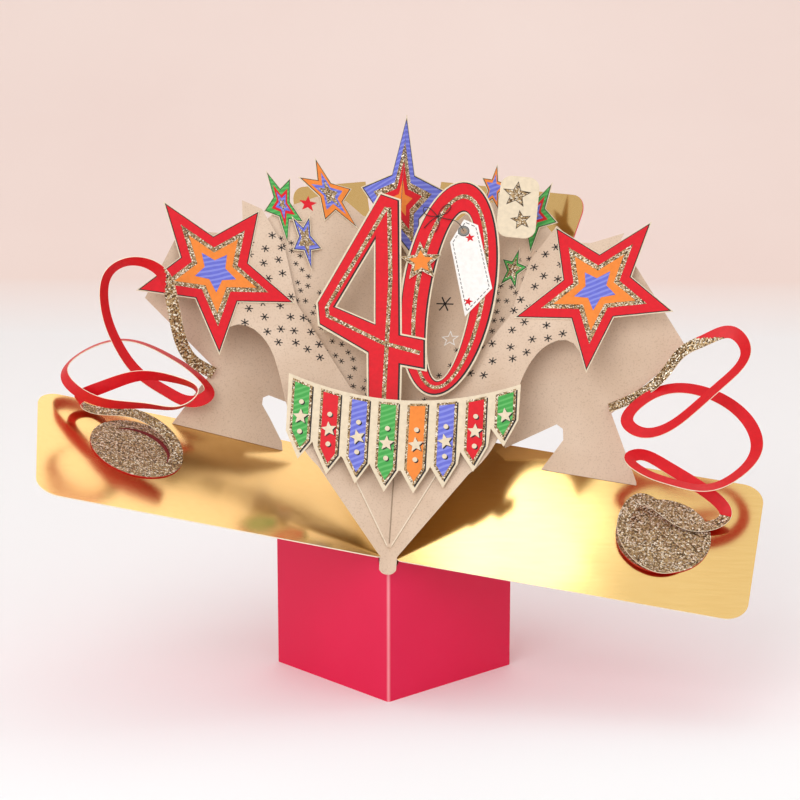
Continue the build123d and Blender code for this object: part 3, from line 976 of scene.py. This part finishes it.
# Points that the ribbons pass through, as the solids have them, in millimetres from the tube's axis
LEFT_PATH = [(-148, -33, 139.5), (-152.5, -36.5, 143.5), (-141, -40, 151), (-122, -42, 157.5)]
LEFT_PATH += [(-103, -41, 155.5), (-93, -42.5, 150), (-98, -46, 144.5), (-115, -48.5, 144)]
LEFT_PATH += [(-135, -48, 145), (-152, -40, 149.5), (-160.5, -28, 156.5), (-154, -14, 164)]
LEFT_PATH += [(-134, -4, 168.5), (-112, -4, 160.5), (-96, -8, 150), (-91.5, -12, 143.5)]
LEFT_PATH += [(-98, -16.5, 140), (-111, -19, 145), (-124, -19, 153.5), (-135.5, -20, 170)]
LEFT_PATH += [(-141, -22, 191), (-138, -23, 205), (-126, -24, 211), (-112.5, -21, 205)]
LEFT_PATH += [(-108.5, -18, 193), (-105.5, -14, 172.5), (-100.5, -9, 160), (-90, -4.2, 152)]
RIGHT_PATH = [(149, -53.6, 74.6), (130, -62.5, 69.8), (113, -47, 86), (122, -35, 97)]
RIGHT_PATH += [(147, -41, 85), (163, -39, 90), (149, -34, 104), (132.5, -30, 113.5)]
RIGHT_PATH += [(121, -30, 118), (116.5, -34, 117), (123, -41, 112), (136, -45, 108)]
RIGHT_PATH += [(153, -46, 105.6), (168, -42, 111.5), (178, -31, 122), (173.5, -18, 134.5)]
RIGHT_PATH += [(156.5, -12, 145), (138, -12, 147.5), (121, -17, 140.5), (115.5, -24, 133)]
RIGHT_PATH += [(121, -29, 129.2), (131, -32, 130.5), (145, -32, 140), (160.5, -28, 153.3)]
RIGHT_PATH += [(172, -23, 170), (166, -18, 176.7), (153.5, -15, 172.5), (143, -13, 166.5)]
RIGHT_PATH += [(134.5, -11, 155), (122.5, -10, 144), (107.5, -7.6, 136.5)]


def spline(points, pitch):
    """Places along a smooth curve through points, each with the count of points passed so far."""
    points = [Vector(point) for point in points]
    gaps = [(b - a).length for a, b in zip(points, points[1:])]
    slope = [(b - a) / h for a, b, h in zip(points, points[1:], gaps)]
    none = Vector((0.0, 0.0, 0.0))
    ratio, right = [0.0], [none]
    for k in range(1, len(points) - 1):
        base = 2 * (gaps[k - 1] + gaps[k]) - gaps[k - 1] * ratio[-1]
        right.append((6 * (slope[k] - slope[k - 1]) - gaps[k - 1] * right[-1]) / base)
        ratio.append(gaps[k] / base)
    bend = [none]
    for k in range(len(points) - 2, 0, -1):
        bend.insert(0, right[k] - ratio[k] * bend[0])
    bend.insert(0, none)
    out = []
    for k, h in enumerate(gaps):
        steps = max(2, round(h / pitch))
        for j in range(steps):
            t = h * j / steps
            curve = (bend[k] * (h - t) ** 3 + bend[k + 1] * t**3) / (6 * h)
            start = (points[k] / h - bend[k] * h / 6) * (h - t)
            end = (points[k + 1] / h - bend[k + 1] * h / 6) * t
            out.append((k + j / steps, curve + (start + end)))
    return out + [(len(points) - 1.0, points[-1])]


class CARD_OT_spirals(bpy.types.Operator):
    """Make the two spirals with smooth ribbons, red with glitter where they start and end"""

    bl_idname = "card.spirals"
    bl_label = "Spirals"

    def execute(self, context):
        rim = []
        for turn, rise in LEFT_RIM:
            x = LEFT_DISC[0] + RIM_RADIUS * math.cos(math.radians(turn))
            y = LEFT_DISC[1] + RIM_RADIUS * math.sin(math.radians(turn))
            rim.append(tuple(LEFT_WING @ Vector((x, y, rise + DISC_TOP)) - TUBE))
        for node, wing, disc, path, shown in (
            ("left_spiral", LEFT_WING, LEFT_DISC, rim + LEFT_PATH, LEFT_GLITTER),
            ("right_spiral", RIGHT_WING, RIGHT_DISC, RIGHT_PATH, RIGHT_GLITTER),
        ):
            mesh = bmesh.new()
            add_disc(mesh, wing, disc)
            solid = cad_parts[node].data
            add_ribbon(mesh, solid, wing, [TUBE + Vector(point) for point in path], *shown)
            bmesh.ops.recalc_face_normals(mesh, faces=mesh.faces)
            data = bpy.data.meshes.new(node + "_card")
            mesh.to_mesh(data)
            mesh.free()
            data.shade_smooth()
            data.set_sharp_from_angle(angle=math.radians(40.0))
            for key in SPIRAL_KEYS:
                data.materials.append(MATERIALS[key])
            thing = placed(node + "_card", data)
            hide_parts(node)
        upper = LEFT_WING @ Matrix.Translation((0, 0, DISC_TOP - CARD))
        # A dark red crescent on the disc is painted shade, standing for the cut under the ribbon
        cut = Sheet("left_spiral_cut_shade", "spiral_card", upper)
        cut.field([crescent(LEFT_DISC, *CUT_SHADE)], 1, "slot")
        cut.make()
        return {"FINISHED"}


def crescent(centre, radius, depth, first, last, count=24):
    """Outline of a crescent painted as the shade in the cut beside the start of a ribbon, widest in its
    middle.
    """
    outer, inner = [], []
    for k in range(count + 1):
        angle = math.radians(first + (last - first) * k / count)
        near = radius - depth * math.sin(math.pi * k / count)
        x, y = math.cos(angle), math.sin(angle)
        outer.append((centre[0] + radius * x, centre[1] + radius * y))
        if 0 < k < count:
            inner.append((centre[0] + near * x, centre[1] + near * y))
    return outer + inner[::-1]


def add_disc(mesh, wing, centre):
    """A round card lying on a wing, glitter upward."""
    rings = []
    for height in (DISC_BOTTOM, DISC_TOP):
        loop = ellipse(centre[0], centre[1], DISC_RADIUS, DISC_RADIUS, 0, DISC_SIDES)
        rings.append([mesh.verts.new(wing @ Vector((x, y, height)) * MM) for x, y in loop])
    mesh.faces.new(rings[0][::-1])
    mesh.faces.new(rings[1]).material_index = SPIRAL_KEYS.index("glitter")
    for k in range(DISC_SIDES):
        after = (k + 1) % DISC_SIDES
        mesh.faces.new((rings[0][k], rings[0][after], rings[1][after], rings[1][k]))


def add_ribbon(mesh, solid, wing, path, lifted, tied):
    """A strip along a path that turns as the strip of the solid does."""
    flat = wing.inverted()
    steps = [1.0 - 2.0 * k / (COLUMNS - 1) for k in range(COLUMNS)]
    loop = [(side, 1) for side in steps] + [(side, -1) for side in steps[::-1]]
    places = spline(path, RIBBON_PITCH)
    last = len(places) - 1
    ways = []
    for k in range(last + 1):
        ways.append((places[min(k + 1, last)][1] - places[max(k - 1, 0)][1]).normalized())
    corners = [vertex.co for vertex in solid.vertices]
    tree = BVHTree.FromPolygons(corners, [face.vertices for face in solid.polygons])
    facing = facing_of(wing)
    facings = []
    for (_, place), along in zip(places, ways):
        normal = tree.find_nearest(place * MM)[1]
        normal = normal if normal.dot(facing) > 0 else -normal
        if abs(normal.dot(along)) < END_ON:
            facing = (normal - along * normal.dot(along)).normalized()
        facings.append(facing)
    rows = []
    for k, ((count, place), along) in enumerate(zip(places, ways)):
        near = facings[max(0, k - SMOOTHING) : k + SMOOTHING + 1]
        facing = sum(near, Vector((0.0, 0.0, 0.0)))
        facing = (facing - along * facing.dot(along)).normalized()
        across, through = along.cross(facing) * RIBBON_HALF, facing * RIBBON_SKIN
        corners = []
        for side, face in loop:
            local = flat @ (place + across * side + through * face)
            local.z = max(local.z, RIBBON_FLOOR)
            corners.append(mesh.verts.new(wing @ local * MM))
        rows.append((count, facing, corners))
    # Glitter lies on the side that looks forward and up
    seen = Vector((0.0, -0.7, 0.7))
    for (count, up, before), (_, _, after) in zip(rows, rows[1:]):
        for k, (side, level) in enumerate(loop):
            beyond = (k + 1) % len(loop)
            face = mesh.faces.new((before[k], after[k], after[beyond], before[beyond]))
            middle = (side + loop[beyond][0]) / 2
            if loop[beyond][1] != level:
                face.material_index = SPIRAL_KEYS.index("core")
            elif up.dot(seen) * level > 0 and (count < lifted or count > tied + SLANT * middle):
                face.material_index = SPIRAL_KEYS.index("glitter")
    mesh.faces.new(rows[0][2])
    mesh.faces.new(rows[-1][2][::-1])


# Sizes of the backdrop in metres, its bend's steps in radians, and the height over which the floor's tone
# gives way to the wall's
FLOOR_FRONT = -3.0
FLOOR_BACK = 1.0
SWEEP = 0.7
SWEEP_STEP = 0.26
WALL_TOP = 3.0
BACKDROP_HALF = 4.0
TONE_CHANGE = 0.03
WORLD_STRENGTH = 0.84
# Each lamp's place and size in metres, and its share of the lamp power
LAMPS = (
    ("key", (-0.7, -1.5, 1.0), 1.2, 1.0),
    ("top", (0.1, 0.3, 1.7), 1.7, 0.2),
    ("spot", (0.085, 0.03, 1.25), 0.16, 0.022),
    ("back", (0.17, 0.84, 1.2), 0.5, 0.045),
    ("fill", (1.4, -1.2, 0.8), 1.2, 0.24),
)
LAMP_AIM = (0, 0, 0.13)
# The camera as fitted to the photo, in metres from the tube's axis, with its lens in millimetres
CAMERA_PLACE = (0.0439, -1.0144, 0.3418)
CAMERA_AIM = (-0.0393, 0.9797, -0.1966)
LENS = 92.7
SENSOR = 36.0


class CARD_OT_stage(bpy.types.Operator):
    """Set the backdrop, lights and camera"""

    bl_idname = "card.stage"
    bl_label = "Stage"

    def execute(self, context):
        scene = context.scene
        scene.view_settings.view_transform = "Standard"
        profile = [(FLOOR_FRONT, 0.0), (FLOOR_BACK, 0.0)]
        for k in range(1, 7):
            across, up = SWEEP * math.sin(SWEEP_STEP * k), SWEEP * math.cos(SWEEP_STEP * k)
            profile.append((FLOOR_BACK + across, SWEEP - up))
        profile.append((FLOOR_BACK + SWEEP, WALL_TOP))
        points = [(x, y, z) for y, z in profile for x in (-BACKDROP_HALF, BACKDROP_HALF)]
        faces = [(2 * k, 2 * k + 1, 2 * k + 3, 2 * k + 2) for k in range(len(profile) - 1)]
        data = bpy.data.meshes.new("backdrop")
        data.from_pydata(points, [], faces)
        data.shade_smooth()
        # Matt paper, a cool white on the floor that turns faintly pink where the wall starts
        material, tree = blank("pale backdrop paper")
        where = add(tree, "ShaderNodeTexCoord").outputs["Object"]
        tones = [(0.3, linear("#F2E0DA")), (0.7, linear("#F5E5DF"))]
        wall = ramp(tree, noise(tree, where, 333.0), tones)
        level = add(tree, "ShaderNodeSeparateXYZ", links={0: where})
        values = {"From Min": 0.0, "From Max": TONE_CHANGE}
        high = add(tree, "ShaderNodeMapRange", links={"Value": level.outputs[2]}, values=values)
        tone = blend(tree, high.outputs[0], linear("#F5F9FC"), wall)
        finish_shader(tree, {"Roughness": 0.7}, {"Base Color": tone})
        data.materials.append(material)
        backdrop = linked("backdrop", data)
        world = bpy.data.worlds.new("studio")
        scene.world = world
        world.use_nodes = True
        tree = world.node_tree
        tree.nodes.clear()
        where = add(tree, "ShaderNodeTexCoord").outputs["Generated"]
        height = add(tree, "ShaderNodeSeparateXYZ", links={0: where})
        tones = [(0.0, linear("#EADCD4")), (0.9, linear("#FFFDFB"))]
        tone = ramp(tree, height.outputs[2], tones)
        values = {"Strength": WORLD_STRENGTH}
        sky = add(tree, "ShaderNodeBackground", links={"Color": tone}, values=values)
        add(tree, "ShaderNodeOutputWorld", links={"Surface": sky.outputs[0]})
        for name, place, size, share in LAMPS:
            lamp = bpy.data.lights.new(name, "AREA")
            lamp.size = size
            lamp.energy = scene.card.lamp_power * share
            thing = linked(name, lamp)
            thing.location = place
            aim = Vector(LAMP_AIM) - Vector(place)
            thing.rotation_euler = aim.to_track_quat("-Z", "Y").to_euler()
        eye = bpy.data.cameras.new("camera")
        eye.lens = LENS
        eye.sensor_width = SENSOR
        camera = linked("camera", eye)
        camera.location = Vector(CAMERA_PLACE) + TUBE * MM
        camera.rotation_euler = Vector(CAMERA_AIM).to_track_quat("-Z", "Y").to_euler()
        scene.camera = camera
        return {"FINISHED"}


class CARD_PT_panel(bpy.types.Panel):
    """Buttons that dress the card, in order"""

    bl_idname = "CARD_PT_panel"
    bl_label = "Pop up card"
    bl_space_type = "VIEW_3D"
    bl_region_type = "UI"
    bl_category = "Card"

    def draw(self, context):
        for name in CardSettings.__annotations__:
            self.layout.prop(context.scene.card, name)
        for kind in OPERATORS:
            self.layout.operator(kind.bl_idname)


OPERATORS = (
    CARD_OT_base,
    CARD_OT_kraft,
    CARD_OT_stars,
    CARD_OT_crown,
    CARD_OT_numerals,
    CARD_OT_banner,
    CARD_OT_spirals,
    CARD_OT_stage,
)
CLASSES = (CardSettings, *OPERATORS, CARD_PT_panel)


def register():
    for kind in CLASSES:
        bpy.utils.register_class(kind)
    bpy.types.Scene.card = bpy.props.PointerProperty(type=CardSettings)


def unregister():
    del bpy.types.Scene.card
    for kind in reversed(CLASSES):
        bpy.utils.unregister_class(kind)


def main():
    register()
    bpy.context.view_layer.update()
    make_materials(bpy.context.scene.card)
    bpy.ops.card.base()
    bpy.ops.card.kraft()
    bpy.ops.card.stars()
    bpy.ops.card.crown()
    bpy.ops.card.numerals()
    bpy.ops.card.banner()
    bpy.ops.card.spirals()
    bpy.ops.card.stage()


if __name__ == "__main__":
    main()
